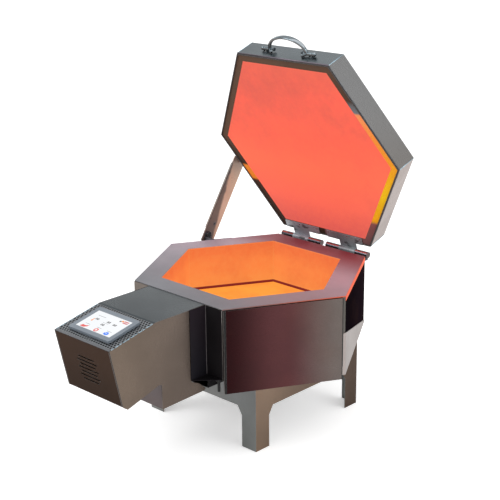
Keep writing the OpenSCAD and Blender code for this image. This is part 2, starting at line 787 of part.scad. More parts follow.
module handle_bolts() {
  color([0.84, 0.85, 0.87])
  on_lid() mirrored() {
    // cross bolt with a dome nut outside the lug and a hexagon inside the bow
    bar_x(60, lug_x + 12, cross_y, handle_z, 3.5);
    translate([lug_x + 8.7, cross_y, handle_z]) rotate([0, 90, 0]) {
      cylinder(h = 5, r = 6.8);
      translate([0, 0, 4.9]) cylinder(h = 3.6, r1 = 6.8, r2 = 4.4);
    }
    bar_x(58.5, 62.5, cross_y, handle_z, 6.2, $fn = 6);
    // stud into the lid
    bar_y(front_y - 5.1, front_y + 8, lug_x, handle_z, 3);
    bar_y(front_y + 7, front_y + 12, lug_x, handle_z, 7, $fn = 6);
  }
}

// ---------- lid bracket and stay arm ----------
// bracket on the lid's left rear face that carries the stay arm's stud
module lid_bracket() {
  color([0.25, 0.23, 0.22])
  on_lid() difference() {
    translate([0, 0, stud[1] - 14]) linear_extrude(28)
      fold([[left_x(154) - 0.3, 154], [left_x(124) - 0.3, 124],
            [ear_x + strap, 124], [ear_x + strap, 93]], -strap);
    bar_x(ear_x - 1, ear_x + 6, stud[0], stud[1], stud_r + 0.02);
    at_lid_bracket_screws() bar_x(-10, 10, 0, 0, 2.6);
  }
}
module lid_stud() {
  nut_x = ear_x + strap + 0.1;
  color([0.80, 0.80, 0.82])
  on_lid() {
    bar_x(arm_back - 2, nut_x, stud[0], stud[1], stud_r);
    bar_x(arm_back - 4.5, arm_back - 1.4, stud[0], stud[1], stud_r + 4);
    bar_x(nut_x, nut_x + 5, stud[0], stud[1], 9, $fn = 6);
  }
}
module lid_bracket_screws() {
  color([0.75, 0.75, 0.77])
  on_lid() at_lid_bracket_screws() {
    bar_x(-12, 4.4, 0, 0, 2.5);
    bar_x(4.4, 6.8, 0, 0, 4.8);
  }
}
// stay arm, drawn in its own frame: Y from the pivot towards the stud
module stay_arm() {
  color([0.93, 0.78, 0.68])
  translate([arm_x, pivot[0], pivot[1]]) rotate([arm_angle, 0, 0]) union() {
    difference() {
      union() {
        // square at the pivot, round at the hook
        translate([-arm_thick / 2, -30, arm_offset - 28.5])
          cube([arm_thick, arm_length + 30, 57]);
        bar_x(-arm_thick / 2, arm_thick / 2, arm_length, arm_offset, 28.8);
      }
      bar_x(-arm_thick, arm_thick, 0, 0, pivot_r + run_fit);
      bar_x(-arm_thick, arm_thick, 46, -15, 4.5);
      // hook: a slot from the stud's seat to the +Z edge
      bar_x(-arm_thick, arm_thick, arm_length, arm_offset, 6.5);
      translate([0, arm_length, arm_offset]) rotate([12, 0, 0])
        translate([-arm_thick, -6.3, 0]) cube([2 * arm_thick, 12.6, 60]);
    }
    // return fold along the +Z edge
    translate([-arm_thick / 2 - 3, 20, arm_offset + 25.9]) cube([3.4, arm_length - 60, 2.5]);
  }
}

// from the middle of the stand to the origin: halfway from the box's nose to the
// rear top edge of the open lid
depth_shift = -(nose_y + opened([rear_y, lid_top])[0]) / 2;
module at_origin() { translate([0, depth_shift, 0]) children(); }

at_origin() stand_frame();
at_origin() foot_plates();
at_origin() base_pan();
at_origin() outer_jacket();
at_origin() rim_plate();
at_origin() floor_slab();
at_origin() wall_brick(270);  // wall_brick_front
at_origin() wall_brick(330);  // wall_brick_front_right
at_origin() wall_brick(30);  // wall_brick_rear_right
at_origin() wall_brick(90);  // wall_brick_rear
at_origin() wall_brick(150);  // wall_brick_rear_left
at_origin() wall_brick(210);  // wall_brick_front_left
at_origin() muffle_plates();
at_origin() heating_elements();
at_origin() terminal_bushings();
at_origin() terminal_nuts();
at_origin() thermocouple();
at_origin() thermocouple_head();
at_origin() side_heat_shield();
at_origin() corner_shoes();
at_origin() neck_panels();
at_origin() wiring_trough();
at_origin() box_side_right();
at_origin() box_side_left();
at_origin() box_top_cover();
at_origin() box_grille_panel();
at_origin() box_front_panel();
at_origin() box_bottom_panel();
at_origin() screen_bezel();
at_origin() screen_glass();
at_origin() screen_module();
at_origin() din_rail();
at_origin() contactors();
at_origin() power_supply();
at_origin() terminal_block();
at_origin() power_leads();
at_origin() cable_gland();
at_origin() mains_cable();
at_origin() hinge_rods();
at_origin() hinge_barrels();
at_origin() hinge_brackets();
at_origin() bracket_bolts();
at_origin() stay_bracket();
at_origin() stay_screws();
at_origin() stay_pivot_pin();
at_origin() lid_shell();
at_origin() lid_frame();
at_origin() lid_slab();
at_origin() lid_hot_face();
at_origin() lid_gasket();
at_origin() hinge_leaves();
at_origin() leaf_screws();
at_origin() handle_bow();
at_origin() handle_lugs();
at_origin() handle_bolts();
at_origin() lid_bracket();
at_origin() lid_stud();
at_origin() stay_arm();
at_origin() lid_bracket_screws();
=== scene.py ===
import math, json, random
import bpy, bmesh
from mathutils import Matrix, Vector


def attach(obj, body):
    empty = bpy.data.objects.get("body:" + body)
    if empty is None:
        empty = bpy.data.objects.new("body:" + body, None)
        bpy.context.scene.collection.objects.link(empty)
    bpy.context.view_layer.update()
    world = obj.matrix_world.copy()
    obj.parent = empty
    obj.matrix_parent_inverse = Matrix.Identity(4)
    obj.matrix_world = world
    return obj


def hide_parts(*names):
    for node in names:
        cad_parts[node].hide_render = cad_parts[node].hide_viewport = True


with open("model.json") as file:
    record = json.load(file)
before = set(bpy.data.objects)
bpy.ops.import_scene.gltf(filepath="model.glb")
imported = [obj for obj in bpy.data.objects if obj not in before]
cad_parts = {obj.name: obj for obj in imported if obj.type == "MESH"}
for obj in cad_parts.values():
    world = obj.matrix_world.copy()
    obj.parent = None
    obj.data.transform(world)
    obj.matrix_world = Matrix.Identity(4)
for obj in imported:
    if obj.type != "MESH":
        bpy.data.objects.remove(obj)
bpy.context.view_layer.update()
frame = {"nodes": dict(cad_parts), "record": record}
N = frame["nodes"]
random.seed(4)
sc = bpy.context.scene


# ------------------------------------------------------------------ frames
def at(x, y, z):
    return Matrix.Translation((x, y, z))


def about_x(a):
    return Matrix.Rotation(a, 4, "X")


OPEN = math.radians(-70.2)
OY = 0.136488
SH = at(0, OY, 0)
HY, HZ = 0.3713, 0.4845
ON_LID = SH @ at(0, HY, HZ) @ about_x(OPEN) @ at(0, -HY, -HZ)
ZT = 0.488
YF, ZF = -0.716, ZT - 0.037
YFB, ZFB = -0.675, ZT - 0.225
SL_A = math.atan2(0.037, 0.175)
SL_L = math.hypot(0.175, 0.037)
ON_SLOPE = SH @ at(0, YF, ZF) @ about_x(SL_A)
ON_FRONT = SH @ at(0, YF, ZF) @ about_x(math.atan2(ZFB - ZF, YFB - YF))
FL = math.hypot(YFB - YF, ZFB - ZF)
BZ0 = SL_L - 0.151
AX = -0.369
PIN = (0.151, 0.4955)
STUD = (0.1073, 0.5343)
_so = ON_LID @ Vector((AX, STUD[0], STUD[1]))
_dy, _dz = _so.y - OY - PIN[0], _so.z - PIN[1]
AOFF = -0.0116
ARM_L = math.sqrt(_dy * _dy + _dz * _dz - AOFF * AOFF)
ARM = SH @ at(AX, *PIN) @ about_x(math.atan2(_dz, _dy) - math.atan2(AOFF, ARM_L))


def lin(r, g, b):
    return tuple((c / 255 / 12.92) if c / 255 <= 0.04045 else ((c / 255 + 0.055) / 1.055) ** 2.4 for c in (r, g, b)) + (1.0,)


# ------------------------------------------------------------------ materials
class Mat:
    """Small wrapper that builds one procedural node material."""

    def __init__(self, name):
        self.m = bpy.data.materials.new(name)
        self.m.use_nodes = True
        self.t = self.m.node_tree
        self.t.nodes.clear()
        self.out = self.n("ShaderNodeOutputMaterial")
        self.b = self.n("ShaderNodeBsdfPrincipled")
        self.t.links.new(self.b.outputs[0], self.out.inputs[0])
        self.tc = self.n("ShaderNodeTexCoord")

    def n(self, kind, **kw):
        node = self.t.nodes.new(kind)
        for k, v in kw.items():
            setattr(node, k, v)
        return node

    def link(self, a, b):
        self.t.links.new(a, b)

    def noise(self, scale, detail=3.0, stretch=(1, 1, 1), rough=0.55, offset=0.0):
        mp = self.n("ShaderNodeMapping")
        mp.inputs["Scale"].default_value = stretch
        mp.inputs["Location"].default_value = (offset, offset * 1.7, offset * 0.6)
        self.link(self.tc.outputs["Object"], mp.inputs["Vector"])
        nz = self.n("ShaderNodeTexNoise")
        nz.inputs["Scale"].default_value = scale
        nz.inputs["Detail"].default_value = detail
        nz.inputs["Roughness"].default_value = rough
        self.link(mp.outputs[0], nz.inputs["Vector"])
        return nz.outputs["Fac"]

    def remap(self, src, a, b, c, d, smooth=False):
        r = self.n("ShaderNodeMapRange")
        if smooth:
            r.interpolation_type = "SMOOTHSTEP"
        r.inputs["From Min"].default_value = a
        r.inputs["From Max"].default_value = b
        r.inputs["To Min"].default_value = c
        r.inputs["To Max"].default_value = d
        self.link(src, r.inputs["Value"])
        return r.outputs[0]

    def math(self, op, a, b=None):
        k = self.n("ShaderNodeMath", operation=op)
        for i, v in enumerate((a, b)):
            if v is None:
                continue
            if isinstance(v, (int, float)):
                k.inputs[i].default_value = v
            else:
                self.link(v, k.inputs[i])
        return k.outputs[0]

    def along(self, d, a, b):
        """0 to 1 along direction d, from a to b in metres."""
        return self.inside(SH, d, a, b)

    def inside(self, M, d, a, b, c=0, e=1):
        """c to e along direction d of frame M, from a to b in metres."""
        k = self.n("ShaderNodeVectorMath", operation="DOT_PRODUCT")
        self.link(self.tc.outputs["Object"], k.inputs[0])
        v = M.to_3x3() @ Vector(d)
        k.inputs[1].default_value = v
        o = M.translation.dot(v)
        return self.remap(k.outputs["Value"], a + o, b + o, c, e)

    def ramp(self, fac, a, b, stops):
        """Colour against a value running a to b; stops are (value, colour)."""
        r = self.n("ShaderNodeValToRGB")
        el = r.color_ramp.elements
        el[0].position, el[1].position = 0.0, 1.0
        el[0].color, el[1].color = lin(*stops[0][1]), lin(*stops[-1][1])
        for v, c in stops[1:-1]:
            q = el.new((v - a) / (b - a))
            q.color = lin(*c)
        self.link(fac, r.inputs[0])
        return r.outputs[0]

    def facing(self, n, w=0.12):
        """1 where the surface faces direction n."""
        k = self.n("ShaderNodeVectorMath", operation="DOT_PRODUCT")
        self.link(self.tc.outputs["Normal"], k.inputs[0])
        v = Vector(n).normalized()
        k.inputs[1].default_value = v
        return self.remap(k.outputs["Value"], 1 - w, 1 - w * 0.4, 0, 1)

    def mix(self, fac, a, b, mode="MIX"):
        k = self.n("ShaderNodeMix", data_type="RGBA", blend_type=mode)
        if isinstance(fac, (int, float)):
            k.inputs[0].default_value = fac
        else:
            self.link(fac, k.inputs[0])
        for sock, v in ((6, a), (7, b)):
            if isinstance(v, tuple):
                k.inputs[sock].default_value = v
            else:
                self.link(v, k.inputs[sock])
        return k.outputs[2]

    def edge(self, radius):
        """Mask of the convex and concave edges, from the rounded normal."""
        bv = self.n("ShaderNodeBevel", samples=4)
        bv.inputs["Radius"].default_value = radius
        g = self.n("ShaderNodeNewGeometry")
        d = self.n("ShaderNodeVectorMath", operation="DOT_PRODUCT")
        self.link(bv.outputs[0], d.inputs[0])
        self.link(g.outputs["True Normal"], d.inputs[1])
        return self.remap(d.outputs["Value"], 0.995, 0.80, 0, 1), bv.outputs[0]


def gradient(m, spec):
    """A colour, a function of the material, or (direction, from, to, colours)."""
    if callable(spec):
        return spec(m)
    if len(spec) == 3:
        return lin(*spec)
    f = m.along(*spec[:3])
    r = m.n("ShaderNodeValToRGB")
    cols = spec[3:]
    el = r.color_ramp.elements
    el[0].color, el[1].color = lin(*cols[0]), lin(*cols[-1])
    for i, c in enumerate(cols[1:-1]):
        e = el.new((i + 1) / (len(cols) - 1))
        e.color = lin(*c)
    r.color_ramp.interpolation = "EASE"
    m.link(f, r.inputs[0])
    return r.outputs[0]


def steel(name, base, faces=(), rough=0.3, metal=1.0, brush=(1, 1, 40), wear_and_glint=0.35, var=0.14, bump=0.05, bevel=0.0012, wear_and_glint_colour=(205, 205, 205), stain=0.0, coat=0.0, dull=()):
    m = Mat(name)
    col = gradient(m, base)
    for n, spec in faces:
        col = m.mix(m.facing(n), col, gradient(m, spec))
    big = m.noise(7, 4)
    col = m.mix(m.remap(big, 0.3, 0.7, 0, var), col, (0.02, 0.02, 0.02, 1))
    fine = m.noise(60, 3, brush, 0.6, 0.3)
    col = m.mix(m.remap(fine, 0.35, 0.65, 0, 0.10), col, (0.75, 0.75, 0.75, 1), "OVERLAY")
    if stain:
        st = m.noise(3.5, 5, (1, 1, 1), 0.6, 2.2)
        col = m.mix(m.remap(st, 0.48, 0.72, 0, stain), col, lin(120, 78, 52))
    # edge mask with chip noise, mixed towards the edge colour: partly worn edges, partly a painted highlight along
    # the edges
    e, nrm = m.edge(bevel)
    chip = m.noise(140, 4, (1, 1, 1), 0.6, 5.0)
    wear_glint_mask = m.math("MULTIPLY", e, m.remap(chip, 0.42, 0.62, 0.25 * wear_and_glint, wear_and_glint))
    col = m.mix(wear_glint_mask, col, lin(*wear_and_glint_colour))
    m.link(col, m.b.inputs["Base Color"])
    m.b.inputs["Metallic"].default_value = metal
    for n in dull:
        off = m.math("SUBTRACT", 1.0, m.facing(n))
        m.link(m.math("MULTIPLY", off, metal), m.b.inputs["Metallic"])
        m.link(m.math("MULTIPLY", off, 0.5), m.b.inputs["Specular IOR Level"])
    rr = m.math("ADD", m.remap(fine, 0.3, 0.7, rough - 0.07, rough + 0.07), m.remap(big, 0.3, 0.7, -0.04, 0.06))
    m.link(rr, m.b.inputs["Roughness"])
    if coat:
        m.b.inputs["Coat Weight"].default_value = coat
        m.b.inputs["Coat Roughness"].default_value = 0.15
    bp = m.n("ShaderNodeBump")
    bp.inputs["Strength"].default_value = bump
    bp.inputs["Distance"].default_value = 0.001
    m.link(fine, bp.inputs["Height"])
    m.link(nrm, bp.inputs["Normal"])
    m.link(bp.outputs[0], m.b.inputs["Normal"])
    return m.m


def plastic(name, base, rough=0.45, var=0.12, bump=0.12, grain=500, wear_and_glint=0.3, faces=()):
    m = Mat(name)
    col = gradient(m, base)
    for n, spec in faces:
        col = m.mix(m.facing(n), col, gradient(m, spec))
    big = m.noise(18, 4)
    col = m.mix(m.remap(big, 0.3, 0.7, 0, var), col, (0.02, 0.02, 0.02, 1))
    e, nrm = m.edge(0.001)
    # edges lightened: partly worn edges, partly a painted highlight
    col = m.mix(m.math("MULTIPLY", e, wear_and_glint), col, (0.6, 0.6, 0.6, 1))
    g = m.noise(grain, 2)
    m.link(col, m.b.inputs["Base Color"])
    m.link(m.remap(g, 0.3, 0.7, rough - 0.06, rough + 0.08), m.b.inputs["Roughness"])
    bp = m.n("ShaderNodeBump")
    bp.inputs["Strength"].default_value = bump
    bp.inputs["Distance"].default_value = 0.0006
    m.link(g, bp.inputs["Height"])
    m.link(nrm, bp.inputs["Normal"])
    m.link(bp.outputs[0], m.b.inputs["Normal"])
    return m.m


def hot(name, base, dark, edge_col, strength, rough=0.85, scale=9, mottle=0.55, faces=(), more=None):
    """Glowing refractory: mottled emission over a porous matte surface. Also used for the painted glow on the rim
    lips and the dim glow of the painted shadow in the chamber floor's gap.
    """
    m = Mat(name)
    col = gradient(m, base)
    for n, spec in faces:
        col = m.mix(m.facing(n, 0.3), col, gradient(m, spec))
    a = m.noise(scale, 5, (1, 1, 1), 0.6)
    b = m.noise(scale * 14, 4, (1, 1, 1), 0.7, 3)
    spots = m.remap(a, 0.42, 0.66, 0, mottle)
    if more:
        spots = m.math("MULTIPLY", spots, more(m))
    col2 = m.mix(spots, col, lin(*dark))
    col2 = m.mix(m.remap(b, 0.35, 0.65, 0, 0.16), col2, lin(*edge_col))
    e, nrm = m.edge(0.004)
    col2 = m.mix(m.math("MULTIPLY", e, 0.35), col2, lin(*edge_col))
    m.link(m.mix(0.82, col2, (0.02, 0.01, 0.01, 1)), m.b.inputs["Base Color"])
    m.link(col2, m.b.inputs["Emission Color"])
    # the neighbours are lit less than the glow itself shows
    lp = m.n("ShaderNodeLightPath")
    m.link(m.remap(lp.outputs["Is Diffuse Ray"], 0, 1, strength, strength * 0.35), m.b.inputs["Emission Strength"])
    m.link(m.remap(b, 0.3, 0.7, rough - 0.08, rough + 0.08), m.b.inputs["Roughness"])
    bp = m.n("ShaderNodeBump")
    bp.inputs["Strength"].default_value = 0.35
    bp.inputs["Distance"].default_value = 0.002
    m.link(b, bp.inputs["Height"])
    m.link(nrm, bp.inputs["Normal"])
    m.link(bp.outputs[0], m.b.inputs["Normal"])
    return m.m


Z = (0, 0, 1)
c30, s30 = math.cos(math.radians(30)), 0.5
nEF, nDE, nBC, nAF = (c30, -0.5, 0), (c30, 0.5, 0), (-c30, 0.5, 0), (0, -1, 0)


def turned(v):
    """A direction on the closed lid, carried to the open lid."""
    return tuple(Matrix.Rotation(OPEN, 3, "X") @ Vector(v))


def band_colour(m):
    """Bare steel round the hot face: dark, with painted reflections of the fire as orange patches in places."""
    y = m.inside(ON_LID, (0, 1, 0), -0.36, 0.36)
    right = m.ramp(y, -0.36, 0.36, [(-0.36, (92, 70, 56)), (-0.222, (78, 59, 47)), (-0.204, (100, 104, 108)), (-0.182, (112, 118, 122)), (-0.176, (250, 150, 96)), (-0.10, (252, 148, 62)), (-0.02, (250, 160, 46)), (0.02, (250, 172, 36)), (0.12, (250, 200, 30)), (0.228, (252, 172, 30)), (0.240, (140, 86, 84)), (0.36, (104, 84, 86))])
    left = m.ramp(y, -0.36, 0.36, [(-0.36, (92, 70, 56)), (0.0, (92, 70, 56)), (0.106, (58, 46, 38)), (0.112, (250, 146, 54)), (0.160, (250, 140, 44)), (0.167, (70, 50, 38)), (0.36, (58, 46, 38))])
    return m.mix(m.inside(ON_LID, (1, 0, 0), -0.001, 0.001), left, right)


def arm_colour(m):
    """Bare steel strap: pale, with a darker patch towards the pivot that is a painted reflection of the lid."""
    along = m.inside(ARM, (0, 1, 0), 0.0, ARM_L)
    across = m.inside(ARM, (0, 0, 1), AOFF + 0.0285, AOFF - 0.0285)
    wob = m.noise(26, 3, (1, 1, 1), 0.5, 4.0)
    v = m.math("ADD", m.math("ADD", along, across), m.remap(wob, 0.3, 0.7, -0.07, 0.07))
    tone = m.ramp(m.inside(ARM, (0, 1, 0), 0.0, ARM_L), 0, 1, [(0, (226, 178, 150)), (0.35, (244, 204, 178)), (0.7, (246, 206, 178)), (1, (190, 172, 162))])
    wedge = m.ramp(m.inside(ARM, (0, 1, 0), 0.0, ARM_L), 0, 1, [(0, (124, 106, 100)), (0.25, (138, 120, 110)), (0.6, (132, 122, 116)), (1, (126, 122, 118))])
    return m.mix(m.remap(v, 0.80, 0.94, 1, 0), tone, wedge)


def chrome_painted_reflection(m):
    """Bright plating: painted reflection, in dark and light bands set by the reflection direction."""
    sp = m.n("ShaderNodeSeparateXYZ")
    m.link(m.tc.outputs["Reflection"], sp.inputs[0])
    k = m.math("ADD", sp.outputs[2], m.math("MULTIPLY", sp.outputs[0], 0.25))
    return m.ramp(m.remap(k, -1.2, 1.2, 0, 1), -1.2, 1.2, [(-1.2, (110, 104, 102)), (-0.5, (128, 124, 122)), (-0.12, (84, 86, 90)), (0.02, (90, 98, 104)), (0.10, (196, 214, 222)), (0.20, (112, 124, 130)), (0.45, (98, 108, 114)), (0.62, (140, 152, 158)), (0.72, (92, 102, 108)), (0.9, (206, 214, 220)), (1.2, (130, 140, 146))])


def rod_painted_reflection(m):
    """Dark polished bar: painted reflection, banded by reflection direction, with a red line for the mirrored hot
    face.
    """
    sp = m.n("ShaderNodeSeparateXYZ")
    m.link(m.tc.outputs["Reflection"], sp.inputs[0])
    return m.ramp(m.remap(sp.outputs[2], -1, 1, 0, 1), -1, 1, [(-1, (60, 52, 54)), (-0.3, (104, 92, 92)), (0.0, (44, 42, 48)), (0.3, (112, 110, 120)), (0.62, (96, 94, 102)), (0.74, (214, 92, 78)), (0.86, (120, 104, 110)), (1, (150, 148, 156))])


def leaf_colour(m):
    """Slate-grey hinge plates, varying in tone across their width, blotched dark with painted reflections of what
    they face.
    """
    a = m.noise(24, 4, (1, 2.2, 2.2), 0.6, 1.0)
    x = m.inside(ON_LID, (1, 0, 0), -0.18, 0.18)
    c = m.ramp(x, -0.18, 0.18, [(-0.18, (176, 190, 196)), (-0.12, (150, 150, 158)), (-0.02, (164, 148, 156)), (0.06, (120, 116, 122)), (0.12, (140, 148, 152)), (0.18, (138, 142, 146))])
    return m.mix(m.remap(a, 0.56, 0.64, 0, 0.75), c, lin(30, 26, 28))


def lid_spots(m):
    """More soot towards the outside of the hot face and its front half."""
    y = m.inside(ON_LID, (0, 1, 0), -0.28, 0.05, 1.0, 0.2)
    x = m.inside(ON_LID, (1, 0, 0), -0.30, 0.30, -1, 1)
    x2 = m.math("MULTIPLY", x, x)
    return m.math("ADD", y, m.math("MULTIPLY", x2, 0.35))


def lid_tone(m):
    y = m.inside(ON_LID, (0, 1, 0), -0.30, 0.30)
    return m.ramp(y, -0.30, 0.30, [(-0.30, (228, 90, 70)), (-0.2, (246, 90, 70)), (-0.05, (252, 94, 68)), (0.08, (252, 103, 71)), (0.2, (244, 97, 76)), (0.30, (216, 84, 76))])


MATS = {
    # per-face colours are painted light and shade: the front face grey and lighter towards the floor, the +X face
    # brown and darker towards the back
    "stand_steel": steel("stand_steel", (122, 106, 94), [((0, -1, 0), (Z, 0.0, 0.26, (150, 152, 150), (118, 120, 120))), ((1, 0, 0), ((0, 1, 0), -0.25, 0.25, (148, 126, 108), (124, 106, 92), (92, 76, 66)))], rough=0.33, brush=(40, 40, 1), stain=0.1),
    "foot_steel": steel("foot_steel", (120, 120, 120), rough=0.45),
    "pan_steel": steel("pan_steel", (105, 100, 102), rough=0.42, stain=0.2),
    # per-face colours are painted shade and reflection: the DE face near-black, darker towards the front and less
    # metallic, the EF, AF and BC faces lighter greys and browns
    "jacket_steel": steel("jacket_steel", (52, 34, 40), [(nDE, ((0, 1, 0), 0.02, 0.33, (14, 8, 13), (26, 16, 22))), (nEF, (100, 97, 93)), (nAF, (128, 118, 108)), (nBC, (110, 100, 96))], rough=0.32, brush=(1, 1, 40), stain=0.1, dull=(nDE,)),
    # grey at the front, turning pink and then red towards the back: painted reflection of the lid's glow
    "rim_steel": steel("rim_steel", ((0, 1, 0), -0.34, 0.34, (126, 128, 134), (150, 144, 152), (182, 164, 176), (150, 58, 66)), rough=0.5, metal=0.35, brush=(30, 1, 1), stain=0.06, wear_and_glint_colour=(150, 130, 134)),
    # painted glow: the rim's folded lips lit by the fire are emissive, the front lip grey at one end and orange at
    # the other
    "lip_right_painted_glow": hot("lip_right_painted_glow", (246, 96, 56), (226, 76, 46), (255, 130, 80), 0.85, mottle=0.2),
    "lip_front_painted_glow": hot("lip_front_painted_glow", ((0.5, c30, 0), -0.19, 0.19, (112, 106, 110), (128, 96, 96), (186, 92, 76), (246, 98, 60)), (96, 84, 86), (200, 120, 100), 0.75, mottle=0.2),
    "brick": plastic("brick", (225, 200, 165), rough=0.9, bump=0.5, grain=260),
    "floor_glow": hot("floor_glow", (252, 152, 50), (238, 116, 38), (255, 186, 92), 0.95, scale=6),
    "wall_glow": hot("wall_glow", (Z, 0.34, 0.485, (255, 146, 66), (255, 134, 62), (244, 112, 52)), (226, 92, 44), (255, 172, 96), 0.82, scale=5),
    # dim dark-red glow used for the painted shadow in the gap round the chamber floor
    "strip_glow": hot("strip_glow", (124, 22, 20), (92, 12, 14), (150, 40, 28), 0.85, scale=9, mottle=0.4),
    "element": hot("element", (255, 120, 40), (255, 80, 20), (255, 170, 90), 1.2),
    "porcelain": plastic("porcelain", (235, 230, 220), rough=0.2, bump=0.03),
    "brass": steel("brass", (190, 160, 90), rough=0.3),
    # dark maroon at the front end to grey at the other: painted reflection
    "shield_steel": steel("shield_steel", ((0.5, c30, 0), -0.19, 0.19, (44, 20, 22), (92, 56, 58), (112, 104, 100)), rough=0.3, brush=(1, 1, 40), var=0.2, stain=0.12),
    "shoe_steel": steel("shoe_steel", (176, 166, 162), rough=0.36, brush=(1, 1, 30)),
    # all its tones are painted shade and reflection: near-black sides and top, the front face lighter brown-grey at
    # its left and near-black at its right
    "neck_steel": steel("neck_steel", (26, 21, 27), [((0, -1, 0), ((1, 0, 0), -0.05, 0.05, (128, 118, 110), (17, 13, 16))), ((1, 0, 0), (Z, 0.26, 0.49, (22, 20, 26), (30, 22, 29))), ((0, 0, 1), (14, 11, 14))], rough=0.55, metal=0.1, var=0.2, wear_and_glint=0.0, brush=(1, 1, 30)),
    "gap_brown": plastic("gap_brown", (44, 30, 24), rough=0.8, bump=0.05),
    # light lines in these colours are painted highlights along corners and folds
    "seam_highlight_grey": steel("seam_highlight_grey", (112, 106, 108), rough=0.5, metal=0.2, wear_and_glint=0.0, brush=(1, 1, 20)),
    "highlight_steel": steel("highlight_steel", (104, 98, 96), rough=0.35, wear_and_glint=0.1, brush=(1, 1, 20)),
    "black_steel": steel("black_steel", (26, 22, 25), rough=0.4, metal=0.7, var=0.3, wear_and_glint=0.1),
    # per-face colours are painted light and reflection: the sides warm grey-brown and darker towards the back, the
    # top a bluish grey
    "box_steel": steel("box_steel", (112, 102, 94), [((1, 0, 0), ((0, 1, 0), -0.72, -0.4, (122, 108, 96), (110, 98, 90))), ((0, 0, 1), ((0, 1, 0), -0.55, -0.34, (66, 74, 78), (80, 87, 90)))], rough=0.3, brush=(1, 40, 1)),
    "grille_steel": steel("grille_steel", (140, 144, 148), rough=0.3, brush=(30, 1, 1), bevel=0.0005),
    "front_steel": steel("front_steel", (Z, 0.26, 0.45, (50, 35, 26), (60, 43, 33)), rough=0.5, metal=0.0, brush=(40, 1, 1), var=0.15),
    "screw_steel": steel("screw_steel", (196, 196, 200), rough=0.22, wear_and_glint=0.2),
    "bezel_plastic": plastic("bezel_plastic", (118, 128, 138), rough=0.35),
    "dark_plastic": plastic("dark_plastic", (44, 46, 50)),
    "rail_steel": steel("rail_steel", (190, 192, 196), rough=0.35),
    "light_plastic": plastic("light_plastic", (200, 200, 190)),
    "red_insulation": plastic("red_insulation", (140, 30, 24), rough=0.7, bump=0.4),
    "black_rubber": plastic("black_rubber", (16, 16, 16), rough=0.6),
    "hinge_steel": steel("hinge_steel", leaf_colour, rough=0.3, metal=0.25, brush=(60, 1, 1), wear_and_glint=0.15),
    "dark_steel": steel("dark_steel", (74, 72, 78), rough=0.2, metal=0.5, wear_and_glint=0.3),
    "rod_steel": steel("rod_steel", rod_painted_reflection, rough=0.14, metal=0.9, wear_and_glint=0.1, var=0.1),
    "bright_pin": steel("bright_pin", chrome_painted_reflection, rough=0.1, wear_and_glint=0.1, var=0.05, bump=0.02),
    # per-face colours are painted light and shade: the DE face pale, the front face bluish grey, the EF face lighter
    # towards its top; its light-blue edge colour is a painted highlight
    "lid_steel": steel("lid_steel", (120, 122, 124), [(turned((0, -1, 0)), (112, 120, 124)), (turned((c30, -0.5, 0)), (Z, 0.65, 1.1, (124, 118, 112), (134, 134, 134))), (turned((c30, 0.5, 0)), (182, 168, 162))], rough=0.3, brush=(1, 40, 1), wear_and_glint_colour=(190, 215, 235)),
    "band_steel": steel("band_steel", band_colour, rough=0.5, metal=0.0, brush=(1, 1, 1), var=0.1, stain=0.05, wear_and_glint=0.0),
    "lid_hot": hot("lid_hot", lid_tone, (204, 82, 68), (255, 124, 84), 0.90, scale=5, mottle=0.7, more=lid_spots),
    "gasket": plastic("gasket", (66, 60, 58), rough=0.9, bump=0.6, grain=900),
    "handle_chrome": steel("handle_chrome", chrome_painted_reflection, rough=0.1, var=0.05, bump=0.02, wear_and_glint=0.05),
    # the -X face's darker colour is painted shade
    "arm_steel": steel("arm_steel", arm_colour, [((-1, 0, 0), (120, 110, 104))], rough=0.34, metal=0.4, brush=(1, 1, 30), wear_and_glint=0.1, var=0.05),
    # thin strips in these colours are painted highlights along edges, the brown one a painted reflection
    "edge_highlight_blue": steel("edge_highlight_blue", (176, 206, 222), rough=0.25, wear_and_glint=0.1, brush=(1, 1, 1)),
    "edge_highlight_grey": steel("edge_highlight_grey", (118, 120, 124), rough=0.3, wear_and_glint=0.1, brush=(1, 1, 1)),
    "edge_highlight_mauve": steel("edge_highlight_mauve", (122, 114, 124), rough=0.35, wear_and_glint=0.1, brush=(1, 1, 1)),
    "edge_reflection_brown": steel("edge_reflection_brown", (84, 68, 56), rough=0.4, metal=0.4, wear_and_glint=0.1, brush=(1, 1, 1)),
    "shadow_black": plastic("shadow_black", (12, 12, 13), rough=0.9, bump=0.05),
}


def glass_mat():
    m = Mat("display_lit")
    nz = m.noise(8, 3)
    col = m.mix(m.remap(nz, 0.3, 0.7, 0, 0.25), lin(244, 246, 248), lin(226, 234, 240))
    m.link(m.mix(0.9, col, (0.02, 0.02, 0.02, 1)), m.b.inputs["Base Color"])
    m.link(col, m.b.inputs["Emission Color"])
    m.b.inputs["Emission Strength"].default_value = 0.85
    sm = m.noise(60, 4)
    m.link(m.remap(sm, 0.4, 0.7, 0.06, 0.2), m.b.inputs["Roughness"])
    return m.m


MATS["display"] = glass_mat()
# heat-tinted sheets, and sheets whose dark colour is painted shade and reflection, shine less than bare steel
for k, v in (("band_steel", 0.06), ("front_steel", 0.03), ("neck_steel", 0.15), ("edge_reflection_brown", 0.2), ("hinge_steel", 0.6)):
    MATS[k].node_tree.nodes["Principled BSDF"].inputs["Specular IOR Level"].default_value = v

